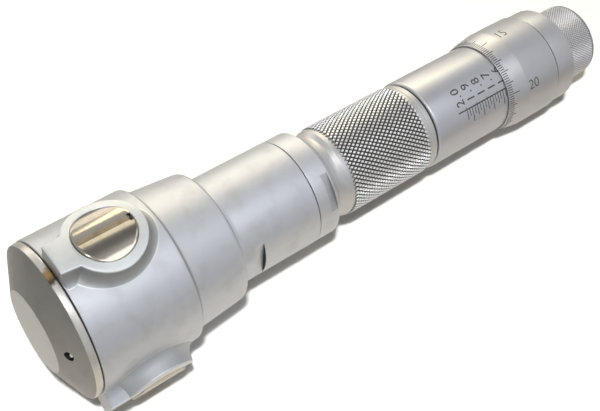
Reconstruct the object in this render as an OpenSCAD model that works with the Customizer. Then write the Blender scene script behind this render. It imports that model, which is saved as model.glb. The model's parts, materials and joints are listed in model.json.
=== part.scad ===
// Three-point inside micrometer, drawn along its own axis and then laid on its side.
// Millimetres, +Z up. Positions x run from the joint of cap and head towards the ratchet.

/* [Head] */
// radius of the head's cylinder
head_r = 16.6; // [14:0.1:20]
// length of the head's cylinder
head_len = 21.9; // [20:0.1:30]
// rounding of the head's rear edge
head_edge = 0.8; // [0.3:0.1:1.5]
// front radius of the tapered shoulder behind the head
shoulder_r_front = 15.2; // [14:0.1:16]
// rear radius of the tapered shoulder
shoulder_r_rear = 14.2; // [13.5:0.1:15]
// length of the tapered shoulder
shoulder_len = 12.3; // [11:0.1:18]
// radius of the neck
neck_r = 11.8; // [11:0.1:13]
// length of the neck
neck_len = 20.1; // [18:0.1:30]
// radius of the room that the cone slides in
cavity_r = 11.4; // [11.2:0.1:12.5]
// length of that room from the cap
cavity_len = 30.5; // [30:0.1:33]

/* [Bosses and anvils] */
// radius of the round boss faces about the tool's axis
boss_face_r = 20; // [19:0.05:20.2]
// radius of a boss ring
boss_r = 8; // [7.5:0.1:9]
// width that a boss gains from its face down to the head
boss_flare = 1.3; // [0.5:0.1:2]
// depth of a boss's foot under the head's skin
boss_root = 3; // [2:0.1:4]
// width of the tab in front of a boss
tab_w = 7.2; // [5:0.1:9]
// widening of the tab on each side towards its boss
tab_spread = 1; // [0.2:0.1:2]
// distance of the anvil axes behind the cap joint
anvil_x = 10.8; // [10:0.1:12.5]
// radius of an anvil
anvil_r = 6; // [5:0.1:6.5]
// bore under test at rest, across the anvil tips
reading = 41.13; // [40.7:0.01:50]
// crown radius of an anvil tip
crown_r = 17; // [10:0.5:20]
// length of the guided part of an anvil
guide_len = 10.7; // [9:0.1:12]
// width of the key that stops an anvil turning
key_w = 1.6; // [1:0.1:2]
// length of a key
key_len = 5.8; // [4:0.1:6]
// depth of the keyway in an anvil
keyway_depth = 1; // [0.8:0.05:1.2]
// depth of a key's seat in the housing
key_sink = 0.9; // [0.6:0.05:1.1]
// distance of a key from the wall of the cone's room
key_land = 1; // [0.5:0.1:1.5]
// half width of the stem that reaches down to the cone
stem_r = 1.9; // [1.7:0.1:2.2]
// distance of the stem behind the anvil's axis
stem_offset = 3.6; // [3:0.1:3.7]
// running clearance of sliding and turning pieces
fit_gap = 0.04; // [0.02:0.01:0.1]
// gap between pieces that are seated on each other
seat_gap = 0.05; // [0.02:0.01:0.1]

/* [Cap] */
// length of the nose in front of the head
nose_len = 5.1; // [4:0.1:8]
// length of the cap's bright rim
rim_len = 1.9; // [1:0.1:3]
// radius of the cap's rim
rim_r = 16.5; // [14:0.1:20]
// radius of the flat nose
nose_r = 8.8; // [7:0.1:10]
// depth of the cap's spigot in the head
spigot_len = 2.4; // [1.5:0.1:2.8]
// radius of the circle of pin spanner holes in the cap
pin_circle_r = 11.8; // [11:0.1:13]
// radius of a pin spanner hole
pin_hole_r = 1; // [0.6:0.05:1.2]
// depth of the pin spanner holes behind the nose
pin_hole_depth = 2.8; // [2:0.1:3.5]

/* [Cone] */
// radial rise of the cone over its length
cone_slope = 0.4; // [0.3:0.01:0.45]
// place of the cone's small end at rest
cone_tip_x = 11.6; // [11.2:0.1:12]
// radius of the cone's small end
cone_tip_r = 4.2; // [4:0.1:4.3]
// length of the cone
cone_len = 17.1; // [16.9:0.1:17.4]
// radius of the cone's shank
shank_r = 4.5; // [4.2:0.1:5]
// place of the shank's rear end at rest
shank_end_x = 50; // [48:0.1:52]
// width of the slot that holds an anvil's foot
slot_w = 2.2; // [1.8:0.1:2.4]
// depth of that slot down to its wide part
slot_depth = 1; // [0.8:0.1:1.1]
// width of the wide part of the slot
foot_slot_w = 3.4; // [3.1:0.1:3.5]
// height of the wide part of the slot
foot_slot_h = 1; // [0.8:0.1:1.1]
// radius of the thrust ball
ball_r = 1.5; // [1:0.1:1.8]
// distance of the ball in front of the shank's rear end
ball_depth = 6.2; // [5.5:0.1:7]
// thickness of the flange on the spindle's nose
nose_flange = 1.6; // [1:0.1:2]
// radius of the spindle's nose inside the thrust nut
journal_r = 1.7; // [1.4:0.1:2]
// radius of the socket that holds the spindle's nose
socket_r = 3; // [2.8:0.1:3.3]
// radius of the backlash spring's coil
spring_r = 1.9; // [1.6:0.1:2]
// radius of the spring wire
wire_r = 0.3; // [0.2:0.05:0.4]
// depth of the spring's seat in the cone
spring_seat = 1.6; // [1:0.1:2]
// turns of the backlash spring
spring_turns = 7; // [5:1:10]

/* [Handle] */
// radius of the guide bush
bush_r = 7; // [6:0.1:7.8]
// length of the guide bush
bush_len = 12; // [10:0.1:12.6]
// radius of the threaded spigot that joins handle and head
joint_r = 8.6; // [8.2:0.1:9]
// length of that spigot inside the neck
joint_len = 10; // [8:0.1:10.8]
// radius of the lock collar
collar_r = 11.75; // [11:0.05:13]
// length of the lock collar
collar_len = 6.6; // [5:0.1:8]
// radius of the waist between collar and grip
waist_r = 9.4; // [9.2:0.1:10]
// length of the waist
waist_len = 3.4; // [2:0.1:5]
// radius of the knurled grip
grip_r = 10.35; // [10:0.05:12]
// length of the knurled grip
grip_len = 23.4; // [18:0.1:30]
// length of the plain groove behind the grip
groove_len = 1.2; // [1:0.1:3]
// radius of the barrel inside the sleeve
barrel_r = 8.75; // [8.2:0.05:9]
// room round the spindle inside the barrel
barrel_room = 1; // [0.5:0.1:1.5]
// radius of the spindle nut
nut_r = 6.5; // [6:0.1:6.8]
// length of the spindle nut
nut_len = 18; // [12:0.1:20]
// width of the spanner slots in neck and collar
spanner_w = 2.2; // [1.5:0.1:3]
// depth of the spanner slots
spanner_depth = 0.75; // [0.5:0.05:1]
// distance of the collar's spanner slot behind its front face
collar_slot_x = 2.4; // [1.5:0.1:3]
// length of the collar's rear chamfer
collar_chamfer_len = 1.6; // [1:0.1:2]
// depth of the collar's rear chamfer
collar_chamfer = 1.4; // [0.8:0.1:1.8]
// depth of the plain groove behind the grip
groove_depth = 0.4; // [0.3:0.1:0.9]
// bevel at the ends of the grip
grip_edge = 0.5; // [0.3:0.1:0.8]
// length of the waist's rise to the grip
waist_rise = 1.2; // [0.8:0.1:1.5]
// distance of the spindle nut behind the front of the grip
nut_offset = 1.6; // [1:0.1:3]
// distance of the neck's spanner slot behind its shoulder
neck_slot_x = 5; // [3:0.1:8]

/* [Sleeve and thimble] */
// outer radius of the graduated sleeve
sleeve_r = 10.45; // [10:0.05:11]
// length of the sleeve
sleeve_len = 23.8; // [23:0.1:24]
// length of sleeve that shows at rest
sleeve_shown = 21.3; // [20:0.1:22]
// radius of the thimble
thimble_r = 11.7; // [11.5:0.05:12.5]
// thickness of the thimble's front edge
edge_wall = 0.3; // [0.2:0.05:0.6]
// length of the thimble's bevel
bevel_len = 5.4; // [4:0.1:8]
// length of the thimble
thimble_len = 22; // [21:0.1:26]
// length of the thimble's rear band
band_len = 6.2; // [5.4:0.1:8]
// depth of the step down to the rear band
band_step = 0.4; // [0.2:0.05:0.6]
// thickness of the thimble's rear wall
hub_len = 5; // [4:0.1:5.4]
// bevel of the sleeve's front edge
sleeve_edge = 0.6; // [0.3:0.1:0.9]
// bevel of the thimble's rear edge
band_edge = 0.8; // [0.4:0.1:1.2]
// narrowing of the thimble's seat along the spindle's taper
taper_drop = 0.6; // [0.4:0.05:0.8]
// shoulder of the spindle against the thimble
taper_shoulder = 0.4; // [0.3:0.05:0.6]
// clearance between thimble and sleeve
thimble_gap = 0.1; // [0.05:0.01:0.15]
// radius of the spindle's thread
thread_r = 3; // [2.6:0.05:3.4]
// radius of the spindle's seat in the thimble
taper_r = 4.2; // [3.6:0.1:4.6]
// radius of the thimble nut
clamp_r = 6; // [5:0.1:7]
// length of the thimble nut
clamp_len = 1.8; // [1.5:0.1:2.5]

/* [Ratchet] */
// radius of the ratchet knob
knob_r = 8.8; // [8:0.1:9.5]
// length of the ratchet knob
knob_len = 9.2; // [8.2:0.1:10.5]
// depth of the recess for the ratchet screw
recess_len = 2; // [1.5:0.1:2.4]
// gap between thimble and ratchet knob
knob_gap = 0.4; // [0.3:0.05:0.8]
// thickness of the ratchet knob's rim
knob_wall = 1.7; // [1.2:0.1:2.2]
// radius of the spindle's tail inside the knob
tail_r = 1.9; // [1.6:0.1:2.2]
// bevel at the front edge of the ratchet knob
knob_front_edge = 0.4; // [0.2:0.1:0.8]
// bevel at the rear edge of the ratchet knob
knob_edge = 0.6; // [0.3:0.1:1]
// distance of the ratchet disc behind the knob's front
disc_offset = 2.4; // [2:0.1:2.6]
// room round the spindle's tail for the ratchet spring
spring_room = 1.2; // [0.9:0.1:1.5]
// width of the ratchet screw's slot
driver_w = 0.8; // [0.5:0.1:1]
// depth of the ratchet screw's slot
driver_depth = 0.5; // [0.3:0.1:0.8]
// distance of the ratchet screw's head in front of the knob's end
head_sink = 0.4; // [0.2:0.1:0.8]
// thickness of the ratchet disc
disc_len = 1.4; // [1:0.1:1.8]
// radius of the ratchet screw's head
tail_screw_r = 3.4; // [3:0.1:3.8]
// radius of the ratchet screw's shank
screw_r = 1.1; // [0.9:0.05:1.3]
// length of the ratchet screw's shank
screw_len = 5; // [3:0.1:6]

/* [Hidden] */
$fn = 96;

cut = 0.5;
small_gap = 0.3;
key_play = 0.1;
spring_play = 0.15;
cone_clear = 0.05;
slot_gap = 0.12;
soft_edge = 0.3;
shoulder_edge = 0.6;
neck_cove = 0.8;
neck_cove_len = 1.2;
nose_floor = 1.6;
neck_turn = 0.4;
neck_turn_len = 1;
boss_angles = [0, 120, 240];
pin_angles = [-64.5, 115.5];
neck_slot_angle = -81;
collar_slot_angle = -50;

shoulder_x = head_len;
neck_x = shoulder_x + shoulder_len;
collar_x = neck_x + neck_len;
waist_x = collar_x + collar_len;
grip_x = waist_x + waist_len;
groove_x = grip_x + grip_len;
sleeve_x = groove_x + groove_len;
thimble_x = sleeve_x + sleeve_shown;
band_x = thimble_x + thimble_len - band_len;
rear_x = thimble_x + thimble_len;
hub_x = rear_x - hub_len;
knob_x = rear_x + knob_gap;
knob_end = knob_x + knob_len;
sleeve_end = sleeve_x + sleeve_len;
barrel_end = sleeve_end - cut;
joint_x = collar_x - joint_len;
bush_x = cavity_len + small_gap;
nut_x = grip_x + nut_offset;
nut_end = nut_x + nut_len;
barrel_bore = taper_r + barrel_room;

tip_r = reading / 2;
band_r = thimble_r - band_step;
thimble_bore = sleeve_r + thimble_gap;
guide_in = tip_r - guide_len;
stem_x = anvil_x + stem_offset;
cone_end_x = cone_tip_x + cone_len;
cone_end_r = cone_tip_r + cone_slope * cone_len;
slope_deg = atan(cone_slope);
key_x = anvil_x + anvil_r;
key_z = cavity_r + key_land;
slot_start = 2 * stem_r - slot_w;
slot_len = cone_len + 4 * stem_r;
thread_x = max(collar_x, shank_end_x + 3 * neck_turn_len);

ball_x = shank_end_x - ball_depth;
flange_x = ball_x + ball_r;
thrust_x = flange_x + nose_flange + fit_gap;
disc_x = knob_x + disc_offset;
tail_end = knob_end - recess_len + fit_gap;
clamp_x = rear_x - clamp_len;
taper_start_r = taper_r - taper_shoulder;
taper_end_r = taper_start_r - taper_drop;

tilt = atan((head_r - thimble_r) / (band_x - head_len));
rest_z = head_r * cos(tilt) + head_len * sin(tilt);
front_x = -nose_len * cos(tilt) - nose_r * sin(tilt);
back_x = knob_end * cos(tilt) + knob_r * sin(tilt);
mid_x = (front_x + back_x) / 2;

// Lays the tool on its head and thimble, with its middle over the origin.
module lay() {
    translate([-mid_x, 0, rest_z]) rotate([0, tilt, 0]) children();
}

// Turns a profile of [radius, x] points about the tool's axis.
module turned(profile) {
    rotate([0, 90, 0]) rotate_extrude() polygon(profile);
}

// A plain round or bore about the tool's axis.
module rod(x0, x1, r0, r1) {
    translate([x0, 0, 0]) rotate([0, 90, 0]) cylinder(h = x1 - x0, r1 = r0, r2 = r1);
}

// Stands its children on the axis at one of the three boss places.
module at_boss(angle) {
    rotate([-angle, 0, 0]) children();
}

// A chordal slot for a hook spanner.
module spanner_slot(x, r, angle) {
    rotate([-angle, 0, 0]) translate([x, -r, r - spanner_depth]) cube([spanner_w, 2 * r, r]);
}

// The raised boss with its tab, before its face is turned round.
module boss_blank() {
    foot = head_r - boss_root;
    rise = boss_face_r - foot;
    grown = boss_flare * rise / (boss_face_r - head_r);
    front = tab_w / 2;
    rear = front + tab_spread;
    translate([anvil_x, 0, foot])
        cylinder(h = rise + cut, r1 = boss_r + grown, r2 = boss_r - grown * cut / rise);
    translate([0, 0, foot]) linear_extrude(height = rise + cut)
        polygon([[-cut, -front], [anvil_x, -rear], [anvil_x, rear], [-cut, front]]);
}

module head_outside() {
    turned([[0, 0], [head_r, 0], [head_r, head_len - head_edge],
        [head_r - head_edge * 0.3, head_len - head_edge * 0.3], [head_r - head_edge, head_len],
        [shoulder_r_front, head_len + soft_edge], [shoulder_r_rear, neck_x - shoulder_edge],
        [shoulder_r_rear - shoulder_edge, neck_x], [neck_r + neck_cove, neck_x + soft_edge],
        [neck_r, neck_x + neck_cove_len], [neck_r, collar_x], [0, collar_x]]);
    intersection() {
        rod(0, head_len, boss_face_r, boss_face_r);
        for (a = boss_angles) at_boss(a) boss_blank();
    }
}

module head_housing() {
    color([0.62, 0.63, 0.66]) difference() {
        head_outside();
        rod(-cut, cavity_len, cavity_r, cavity_r);
        rod(cavity_len - cut, joint_x, bush_r + seat_gap, bush_r + seat_gap);
        rod(joint_x - small_gap, collar_x + cut, joint_r + seat_gap, joint_r + seat_gap);
        for (a = boss_angles) at_boss(a) {
            translate([anvil_x, 0, 0]) cylinder(h = boss_face_r + cut, r = anvil_r + fit_gap);
            translate([key_x, -key_w / 2, key_z])
                cube([key_sink + key_play, key_w, key_len + 2 * key_play]);
        }
        spanner_slot(neck_x + neck_slot_x - spanner_w / 2, neck_r, neck_slot_angle);
    }
}

module front_cap() {
    room_r = cone_tip_r + small_gap + cone_slope * nose_len;
    color([0.55, 0.56, 0.58]) difference() {
        turned([[0, -nose_len], [nose_r, -nose_len], [rim_r - soft_edge, -rim_len],
            [rim_r, soft_edge - rim_len], [rim_r, -seat_gap], [cavity_r - seat_gap, -seat_gap],
            [cavity_r - seat_gap, spigot_len], [0, spigot_len]]);
        rod(nose_floor - nose_len, spigot_len + cut, room_r, room_r);
        for (a = pin_angles) at_boss(a) translate([-nose_len - cut, 0, pin_circle_r])
            rotate([0, 90, 0]) cylinder(h = pin_hole_depth + cut, r = pin_hole_r, $fn = 32);
    }
}

// One measuring anvil: crowned tip, guided round, keyway, stem and foot in the cone's slot.
module anvil(angle) {
    at_boss(angle) {
        difference() {
            union() {
                intersection() {
                    translate([anvil_x, 0, guide_in]) cylinder(h = guide_len, r = anvil_r);
                    translate([anvil_x - 2 * anvil_r, 0, tip_r - crown_r]) rotate([0, 90, 0])
                        cylinder(h = 4 * anvil_r, r = crown_r);
                }
                translate([stem_x, 0, 0]) cylinder(h = guide_in + cut, r = stem_r, $fn = 48);
            }
            translate([key_x - keyway_depth, -key_w / 2 - fit_gap, 0])
                cube([2 * keyway_depth, key_w + 2 * fit_gap, tip_r + cut]);
            under_slope(cone_clear);
        }
        intersection() {
            translate([stem_x, 0, 0]) cylinder(h = guide_in, r = stem_r, $fn = 48);
            foot_slot(slot_gap, cone_clear + cut);
        }
    }
}
module anvil_1() { color([0.75, 0.74, 0.72]) anvil(boss_angles[0]); }
module anvil_2() { color([0.75, 0.74, 0.72]) anvil(boss_angles[1]); }
module anvil_3() { color([0.75, 0.74, 0.72]) anvil(boss_angles[2]); }

module anvil_keys() {
    color([0.4, 0.4, 0.42]) for (a = boss_angles) at_boss(a)
        translate([key_x - keyway_depth + 2 * key_play, -key_w / 2 + fit_gap / 2, key_z + seat_gap])
            cube([keyway_depth + key_sink - 2 * key_play, key_w - fit_gap, key_len]);
}

// All that lies under a plane which touches the cone along one line, raised by a gap.
module under_slope(gap) {
    translate([cone_tip_x, 0, cone_tip_r + gap]) rotate([0, -slope_deg, 0])
        translate([-cone_len / 2, -2 * stem_r, -2 * cone_end_r])
            cube([2 * cone_len, 4 * stem_r, 2 * cone_end_r]);
}

// The T-shaped slot along one side of the cone, narrowed by a gap for the foot that runs in it.
module foot_slot(gap, above) {
    translate([cone_tip_x, 0, cone_tip_r]) rotate([0, -slope_deg, 0]) translate([-slot_start, 0, 0]) {
        translate([0, gap - slot_w / 2, -slot_depth - gap])
            cube([slot_len, slot_w - 2 * gap, slot_depth + gap + above]);
        translate([0, gap - foot_slot_w / 2, gap - slot_depth - foot_slot_h])
            cube([slot_len, foot_slot_w - 2 * gap, foot_slot_h - 2 * gap]);
    }
}

module measuring_cone() {
    seat_r = spring_r + wire_r + spring_play;
    color([0.7, 0.7, 0.72]) difference() {
        union() {
            rod(cone_tip_x, cone_end_x, cone_tip_r, cone_end_r);
            rod(cone_end_x - cut, shank_end_x, shank_r, shank_r);
        }
        for (a = boss_angles) at_boss(a) foot_slot(0, cone_len);
        rod(cone_tip_x - cut, cone_tip_x + spring_seat, seat_r, seat_r);
        rod(ball_x, shank_end_x + cut, socket_r, socket_r);
        translate([ball_x, 0, 0]) sphere(r = ball_r + fit_gap, $fn = 48);
    }
}

module thrust_ball() {
    color([0.8, 0.8, 0.82]) translate([ball_x, 0, 0]) sphere(r = ball_r, $fn = 48);
}

module thrust_nut() {
    color([0.5, 0.47, 0.38]) difference() {
        rod(thrust_x, shank_end_x, socket_r - seat_gap, socket_r - seat_gap);
        rod(thrust_x - cut, shank_end_x + cut, journal_r + fit_gap, journal_r + fit_gap);
    }
}

// A coil of square wire along the axis: the sector that the wire fills in a cross-section, twisted.
module coil(x, len, r, turns) {
    span = 360 * turns * 2 * wire_r / len;
    steps = 5;
    arc = [for (i = [0:steps]) span * i / steps];
    translate([x, 0, 0]) rotate([0, 90, 0])
        linear_extrude(height = len, twist = -360 * turns, slices = 16 * turns, $fn = 12)
            polygon(concat([for (a = arc) (r + wire_r) * [cos(a), sin(a)]],
                [for (i = [steps:-1:0]) (r - wire_r) * [cos(arc[i]), sin(arc[i])]]));
}

module backlash_spring() {
    spring_x = nose_floor - nose_len + seat_gap;
    spring_len = cone_tip_x + spring_seat - seat_gap - spring_x;
    color([0.45, 0.45, 0.48]) coil(spring_x, spring_len, spring_r, spring_turns);
}

module guide_bush() {
    color([0.66, 0.55, 0.33]) difference() {
        rod(bush_x, bush_x + bush_len, bush_r, bush_r);
        rod(bush_x - cut, bush_x + bush_len + cut, shank_r + fit_gap, shank_r + fit_gap);
    }
}

module lock_collar() {
    color([0.6, 0.6, 0.63]) difference() {
        turned([[joint_r + seat_gap, collar_x + seat_gap], [collar_r - soft_edge, collar_x + seat_gap],
            [collar_r, collar_x + seat_gap + soft_edge], [collar_r, waist_x - collar_chamfer_len],
            [collar_r - collar_chamfer, waist_x - seat_gap], [joint_r + seat_gap, waist_x - seat_gap]]);
        spanner_slot(collar_x + collar_slot_x, collar_r, collar_slot_angle);
    }
}

module handle() {
    groove_r = grip_r - groove_depth;
    lip_r = sleeve_r - soft_edge;
    color([0.5, 0.52, 0.56]) difference() {
        turned([[0, joint_x], [joint_r, joint_x], [joint_r, waist_x], [waist_r, waist_x],
            [waist_r, grip_x - waist_rise], [grip_r - grip_edge, grip_x], [grip_r, grip_x + grip_edge],
            [grip_r, groove_x - grip_edge], [groove_r, groove_x], [groove_r, sleeve_x - 2 * soft_edge],
            [lip_r, sleeve_x - soft_edge], [lip_r, sleeve_x - seat_gap], [barrel_r, sleeve_x - seat_gap],
            [barrel_r, barrel_end], [0, barrel_end]]);
        rod(joint_x - cut, nut_end, nut_r + seat_gap, nut_r + seat_gap);
        rod(nut_end - cut, barrel_end + cut, barrel_bore, barrel_bore);
    }
}

module spindle_nut() {
    color([0.68, 0.56, 0.32]) difference() {
        rod(nut_x, nut_end - seat_gap, nut_r, nut_r);
        rod(nut_x - cut, nut_end + cut, thread_r + fit_gap, thread_r + fit_gap);
    }
}

module sleeve() {
    color([0.72, 0.72, 0.74]) turned([[barrel_r + seat_gap, sleeve_x], [sleeve_r - sleeve_edge, sleeve_x],
        [sleeve_r, sleeve_x + sleeve_edge], [sleeve_r, sleeve_end], [barrel_r + seat_gap, sleeve_end]]);
}

module spindle() {
    nose_x = ball_x + 2 * soft_edge;
    flange_r = socket_r - small_gap;
    stem_turn_r = thread_r - neck_turn;
    color([0.65, 0.65, 0.68]) difference() {
        turned([[0, nose_x], [flange_r, nose_x], [flange_r, thrust_x - fit_gap],
            [journal_r, thrust_x - fit_gap], [journal_r, shank_end_x + neck_turn_len],
            [stem_turn_r, shank_end_x + 2 * neck_turn_len], [stem_turn_r, thread_x],
            [thread_r, thread_x + neck_turn_len], [thread_r, hub_x - 2 * neck_turn_len],
            [taper_r, hub_x - neck_turn_len], [taper_r, hub_x - seat_gap], [taper_start_r, hub_x - seat_gap],
            [taper_start_r, hub_x], [taper_end_r, clamp_x], [tail_r, clamp_x], [tail_r, tail_end],
            [0, tail_end]]);
        translate([ball_x, 0, 0]) sphere(r = ball_r + fit_gap, $fn = 48);
        rod(tail_end - screw_len - cut, tail_end + cut, screw_r + seat_gap, screw_r + seat_gap);
    }
}

module thimble() {
    color([0.7, 0.7, 0.72]) turned([[thimble_bore, thimble_x], [thimble_bore + edge_wall, thimble_x],
        [thimble_r, thimble_x + bevel_len], [thimble_r, band_x], [band_r, band_x],
        [band_r, rear_x - band_edge], [band_r - band_edge, rear_x], [clamp_r + seat_gap, rear_x], [clamp_r + seat_gap, clamp_x],
        [taper_end_r + seat_gap, clamp_x], [taper_start_r + seat_gap, hub_x], [thimble_bore, hub_x]]);
}

module thimble_nut() {
    color([0.5, 0.5, 0.52]) difference() {
        rod(clamp_x + seat_gap, rear_x, clamp_r, clamp_r);
        rod(clamp_x - cut, rear_x + cut, tail_r + seat_gap, tail_r + seat_gap);
    }
}

module ratchet_knob() {
    web_x = disc_x + disc_len + 2 * key_play;
    recess_r = tail_screw_r + small_gap;
    color([0.6, 0.6, 0.63]) turned([[knob_r - knob_wall, knob_x], [knob_r - knob_front_edge, knob_x],
        [knob_r, knob_x + knob_front_edge], [knob_r, knob_end - knob_edge], [knob_r - knob_edge, knob_end],
        [recess_r, knob_end], [recess_r, knob_end - recess_len], [tail_r + fit_gap, knob_end - recess_len],
        [tail_r + fit_gap, web_x], [knob_r - knob_wall, web_x]]);
}

module ratchet_disc() {
    disc_r = knob_r - knob_wall - small_gap;
    color([0.45, 0.45, 0.47]) difference() {
        rod(disc_x, disc_x + disc_len, disc_r, disc_r);
        rod(disc_x - cut, disc_x + disc_len + cut, tail_r + seat_gap, tail_r + seat_gap);
    }
}

module ratchet_spring() {
    color([0.45, 0.45, 0.48])
        coil(rear_x + seat_gap, disc_x - rear_x - 2 * seat_gap, tail_r + spring_room, 2);
}

module ratchet_screw() {
    color([0.4, 0.4, 0.42]) difference() {
        union() {
            rod(tail_end + seat_gap, knob_end - head_sink, tail_screw_r, tail_screw_r);
            rod(tail_end - screw_len, tail_end + cut, screw_r, screw_r);
        }
        translate([knob_end - head_sink - driver_depth, -tail_screw_r - cut, -driver_w / 2])
            cube([head_sink + driver_depth, 2 * (tail_screw_r + cut), driver_w]);
    }
}

lay() head_housing();
lay() front_cap();
lay() anvil_1();
lay() anvil_2();
lay() anvil_3();
lay() anvil_keys();
lay() measuring_cone();
lay() thrust_ball();
lay() thrust_nut();
lay() backlash_spring();
lay() guide_bush();
lay() lock_collar();
lay() handle();
lay() spindle_nut();
lay() sleeve();
lay() spindle();
lay() thimble();
lay() thimble_nut();
lay() ratchet_knob();
lay() ratchet_disc();
lay() ratchet_spring();
lay() ratchet_screw();
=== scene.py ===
import json
import math
from functools import partial

import bmesh
import bpy
from mathutils import Matrix, Vector


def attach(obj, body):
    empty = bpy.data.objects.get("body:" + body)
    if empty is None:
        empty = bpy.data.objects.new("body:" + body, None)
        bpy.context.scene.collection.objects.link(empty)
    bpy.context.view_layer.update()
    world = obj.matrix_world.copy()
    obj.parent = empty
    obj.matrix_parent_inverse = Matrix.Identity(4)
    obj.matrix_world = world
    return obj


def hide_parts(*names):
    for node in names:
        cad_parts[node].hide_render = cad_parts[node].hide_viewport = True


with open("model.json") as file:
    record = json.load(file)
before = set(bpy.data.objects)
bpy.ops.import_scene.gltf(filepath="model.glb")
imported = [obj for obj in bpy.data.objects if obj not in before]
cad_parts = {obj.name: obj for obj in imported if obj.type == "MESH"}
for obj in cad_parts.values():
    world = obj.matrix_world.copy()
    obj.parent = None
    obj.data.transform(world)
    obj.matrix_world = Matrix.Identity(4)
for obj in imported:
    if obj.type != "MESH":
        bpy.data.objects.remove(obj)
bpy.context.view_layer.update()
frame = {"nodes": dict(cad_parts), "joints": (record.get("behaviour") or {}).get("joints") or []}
scene = bpy.context.scene

# The tool's own axis, taken from the joint that turns the thimble.
# Sizes below are millimetres along that axis from the joint of cap and head, and about it.
MM = 0.001
THIMBLE_X = 110.2
turn_joint = next(j for j in frame["joints"] if j["name"] == "thimble_turn")
along = -Vector(turn_joint["axis"])
across = Vector((0.0, 1.0, 0.0))
above = along.cross(across)
zero = Vector(turn_joint["pos_m"]) - along * THIMBLE_X * MM
TOOL = Matrix.Translation(zero) @ Matrix((along, across, above)).transposed().to_4x4()
TILT = math.atan2(-along.z, along.x)


# The stage: a pale floor that stays white to the lens and keeps a narrow shadow, a lamp beside the lens
# with a soft rim, a warm window on the far side, a little sky and an even room.
# The wall, the card and the ceiling show only as reflections in the metal.
LENS_MM = 65.2
EYE = Vector((-44.7, -99.6, 180.5))
SIGHT = Vector((0.4383, 0.4202, -0.7946))
UPWARDS = Vector((0.4396, 0.6709, 0.5972))

cam_data = bpy.data.cameras.new("camera")
cam_data.lens = LENS_MM
cam_data.sensor_width = 36.0
cam_data.clip_start = 0.005
camera = bpy.data.objects.new("camera", cam_data)
scene.collection.objects.link(camera)
scene.camera = camera
turn3 = TOOL.to_3x3()
back = -(turn3 @ SIGHT).normalized()
right = (turn3 @ UPWARDS).cross(back).normalized()
upright = back.cross(right)
view_turn = Matrix((right, upright, back)).transposed().to_4x4()
camera.matrix_world = Matrix.Translation(TOOL @ (EYE * MM)) @ view_turn


def lamp(name, place, aim, size, power, colour):
    data = bpy.data.lights.new(name, "AREA")
    data.shape = "RECTANGLE"
    data.size, data.size_y = size
    data.energy = power
    data.color = colour
    lamp_object = bpy.data.objects.new(name, data)
    scene.collection.objects.link(lamp_object)
    lamp_object.location = place
    lamp_object.rotation_euler = (Vector(aim) - Vector(place)).to_track_quat("-Z", "Y").to_euler()
    return lamp_object


MIDDLE = (0.0, 0.0, 0.018)
FLASH_RISE = math.radians(12.0)
FLASH_REACH = 0.47
flash_way = back * math.cos(FLASH_RISE) + upright * math.sin(FLASH_RISE)
flash_place = Vector(MIDDLE) + flash_way * FLASH_REACH
flash = lamp("flash", flash_place, MIDDLE, (0.03, 0.03), 2.6, (1.0, 0.985, 0.965))
flash.visible_glossy = False
lamp("flash_rim", flash_place, MIDDLE, (0.08, 0.08), 0.4, (0.96, 0.98, 1.0))
lamp("window", (0.26, 0.4, 0.29), MIDDLE, (0.34, 0.16), 0.5, (1.0, 0.89, 0.62))
lamp("sky", (0.26, -0.13, 0.55), MIDDLE, (0.16, 0.16), 0.1, (0.85, 0.92, 1.0))
wall = lamp("wall", (0.05, 0.75, 0.14), MIDDLE, (1.0, 0.3), 1.1, (1.0, 0.93, 0.78))
card = lamp("card", (0.098, -0.265, 0.42), (-0.063, 0.0, 0.03), (0.22, 0.15), 0.21, (0.88, 0.92, 1.0))
ceiling = lamp("ceiling", (0.099, 0.18, 0.475), (-0.063, 0.0, 0.037), (0.2, 0.08), 0.06, (1.0, 0.93, 0.7))
for reflected in (wall, card, ceiling):
    reflected.visible_diffuse = False


def node_with(tree, kind, values=None, **settings):
    # A new node, with its settings and then the values of its inputs.
    node = tree.nodes.new(kind)
    for name, setting in settings.items():
        setattr(node, name, setting)
    for label, value in (values or {}).items():
        node.inputs[label].default_value = value
    return node


def colour_mix(tree, values=None):
    return node_with(tree, "ShaderNodeMix", values, data_type="RGBA")


# The room lights evenly, shows white to the lens, and mirrors a dimmer patch where the onlooker stands.
world = bpy.data.worlds.new("room")
scene.world = world
world.use_nodes = True
room = world.node_tree
lit = room.nodes["Background"]
lit.inputs["Color"].default_value = (1.0, 0.9, 0.74, 1.0)
lit.inputs["Strength"].default_value = 0.13
mirrored = node_with(room, "ShaderNodeBackground", {"Color": (0.91, 0.94, 1.0, 1.0)})
seen = node_with(room, "ShaderNodeBackground", {"Color": (1.0, 1.0, 1.0, 1.0), "Strength": 1.0})
heading = room.nodes.new("ShaderNodeTexCoord")
apart = node_with(room, "ShaderNodeVectorMath", {1: (0.42, 0.03, 0.907)}, operation="DISTANCE")
onlooker = node_with(
    room, "ShaderNodeMapRange", {"From Min": 0.08, "From Max": 0.42, "To Min": 0.26, "To Max": 0.68},
    interpolation_type="SMOOTHSTEP")
world_path = room.nodes.new("ShaderNodeLightPath")
glossy_mix = room.nodes.new("ShaderNodeMixShader")
world_mix = room.nodes.new("ShaderNodeMixShader")
wire = room.links.new
wire(heading.outputs["Generated"], apart.inputs[0])
wire(apart.outputs["Value"], onlooker.inputs["Value"])
wire(onlooker.outputs["Result"], mirrored.inputs["Strength"])
wire(world_path.outputs["Is Glossy Ray"], glossy_mix.inputs[0])
wire(lit.outputs[0], glossy_mix.inputs[1])
wire(mirrored.outputs[0], glossy_mix.inputs[2])
wire(world_path.outputs["Is Camera Ray"], world_mix.inputs[0])
wire(glossy_mix.outputs[0], world_mix.inputs[1])
wire(seen.outputs[0], world_mix.inputs[2])
wire(world_mix.outputs[0], room.nodes["World Output"].inputs["Surface"])
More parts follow.
